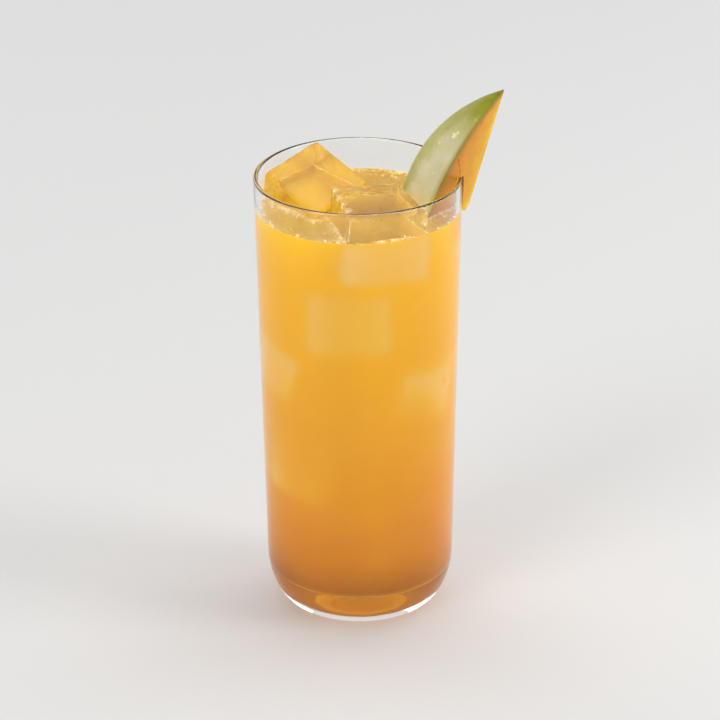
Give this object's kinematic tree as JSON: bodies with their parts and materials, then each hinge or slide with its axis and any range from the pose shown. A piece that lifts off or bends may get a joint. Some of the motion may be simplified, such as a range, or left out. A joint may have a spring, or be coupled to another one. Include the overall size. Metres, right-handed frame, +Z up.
{
  "type": "rum punch",
  "caption": "Iced orange fruit punch in a tall clear glass tumbler, with ice standing out of the drink and a mango wedge slit onto the rim.",
  "frame": {"origin": "on the glass's axis, in the plane that the glass stands on", "axes": "+Z up along the glass's axis; the mango wedge hangs on the +X side of the rim; -Y is the front, where the right-hand ice cube meets the glass"},
  "size_m": [0.0791, 0.066, 0.1764],
  "materials": {
    "clear_glass": "clear, polished",
    "punch": "cloudy orange juice, wet",
    "ice": "wet ice, slightly cloudy",
    "mango": "moist orange flesh and green skin"
  },
  "bodies": {
    "root": {"glass": "clear_glass", "drink": "punch", "ice_cube_left": "ice", "ice_cube_right": "ice", "mango_wedge": "mango"}
  },
  "joints": []
}
